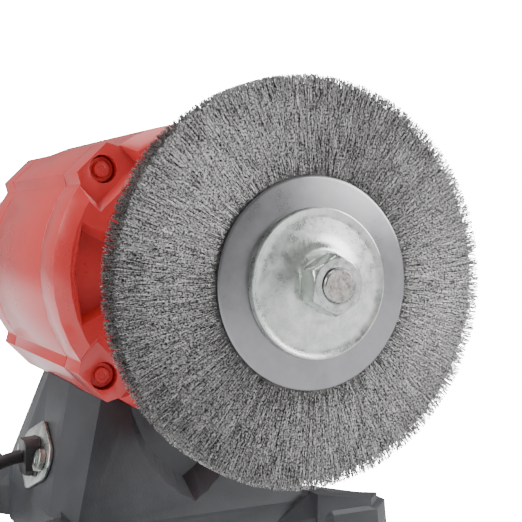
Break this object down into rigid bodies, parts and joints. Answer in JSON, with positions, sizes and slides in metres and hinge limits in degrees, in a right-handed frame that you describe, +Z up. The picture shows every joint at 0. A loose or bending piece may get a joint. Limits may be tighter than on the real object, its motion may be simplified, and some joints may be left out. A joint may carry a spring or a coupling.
{
  "type": "bench grinder",
  "caption": "Bench grinder: red motor on a dark pedestal, wire brush on the left spindle end, grinding wheel on the right, rocker switch, mains lead.",
  "frame": {"origin": "on the bench surface, under the middle of the machine without its lead", "axes": "+X along the spindle towards the grinding wheel, +Y to the rear where the lead leaves, +Z up"},
  "size_m": [0.3788, 0.3228, 0.213],
  "materials": {
    "anthracite": "satin anthracite coating",
    "plate_steel": "plain steel sheet",
    "zinc": "zinc plated, pale",
    "rubber": "matt black",
    "red_paint": "glossy red paint",
    "lamination": "stacked sheet, dark",
    "copper": "varnished copper wire",
    "steel": "turned and ground",
    "wire": "fine crimped wire",
    "abrasive": "pale bonded grit",
    "aluminium": "die cast",
    "white_plastic": "off white",
    "black_plastic": "satin black",
    "rocker_red": "glossy red",
    "brass": "bright"
  },
  "bodies": {
    "frame": {"base_casting": "anthracite", "base_cover": "plate_steel", "cord_plate": "zinc", "capacitor_clamp": "zinc", "cover_screw_left": "zinc", "cover_screw_right": "zinc", "mount_screw_left": "zinc", "mount_screw_right": "zinc", "cord_plate_screw_left": "zinc", "cord_plate_screw_right": "zinc", "foot_front_left": "rubber", "foot_front_right": "rubber", "foot_rear_left": "rubber", "foot_rear_right": "rubber", "power_cord": "rubber", "cord_coil": "rubber", "cord_tail": "rubber", "motor_barrel": "red_paint", "end_shield_left": "red_paint", "end_shield_right": "red_paint", "shield_screw_left_1": "red_paint", "shield_screw_left_2": "red_paint", "shield_screw_left_3": "red_paint", "shield_screw_left_4": "red_paint", "shield_screw_right_1": "red_paint", "shield_screw_right_2": "red_paint", "shield_screw_right_3": "red_paint", "shield_screw_right_4": "red_paint", "stator_core": "lamination", "stator_windings": "copper", "wave_washer": "steel", "bearing_outer_ring_left": "steel", "bearing_outer_ring_right": "steel", "capacitor": "white_plastic", "terminal_block": "white_plastic", "switch_housing": "black_plastic", "cord_gland": "black_plastic", "plug_body": "black_plastic", "plug_pin_1": "brass", "plug_pin_2": "brass"},
    "spindle": {"shaft": "steel", "rotor_core": "lamination", "rotor_cage": "aluminium", "brush_plate_inner": "plate_steel", "brush_plate_outer": "plate_steel", "brush_core": "steel", "brush_wires": "wire", "grinding_wheel": "abrasive", "wheel_bush": "white_plastic", "bearing_inner_ring_left": "steel", "bearing_inner_ring_right": "steel", "inner_flange_left": "zinc", "inner_flange_right": "zinc", "outer_flange_left": "zinc", "outer_flange_right": "zinc", "nut_left": "zinc", "nut_right": "zinc"},
    "cage_left": {"bearing_cage_left": "brass"},
    "cage_right": {"bearing_cage_right": "brass"},
    "rocker": {"switch_rocker": "rocker_red"}
  },
  "joints": [
    {"name": "spindle_spin", "type": "hinge", "parent": "frame", "child": "spindle", "pos_m": [0, 0, 0.138], "axis": [1, 0, 0], "continuous": true},
    {"name": "cage_left_spin", "type": "hinge", "parent": "frame", "child": "cage_left", "pos_m": [-0.0679, 0, 0.138], "axis": [1, 0, 0], "continuous": true},
    {"name": "cage_right_spin", "type": "hinge", "parent": "frame", "child": "cage_right", "pos_m": [0.0667, 0, 0.138], "axis": [1, 0, 0], "continuous": true},
    {"name": "rocker_tilt", "type": "hinge", "parent": "frame", "child": "rocker", "pos_m": [0, -0.05307, 0.05173], "axis": [1, 0, 0], "range_deg": [0, 16]}
  ],
  "couplings": [
    {"joint": "cage_left_spin", "follows": "spindle_spin", "ratio": 0.3808},
    {"joint": "cage_right_spin", "follows": "spindle_spin", "ratio": 0.3808}
  ]
}
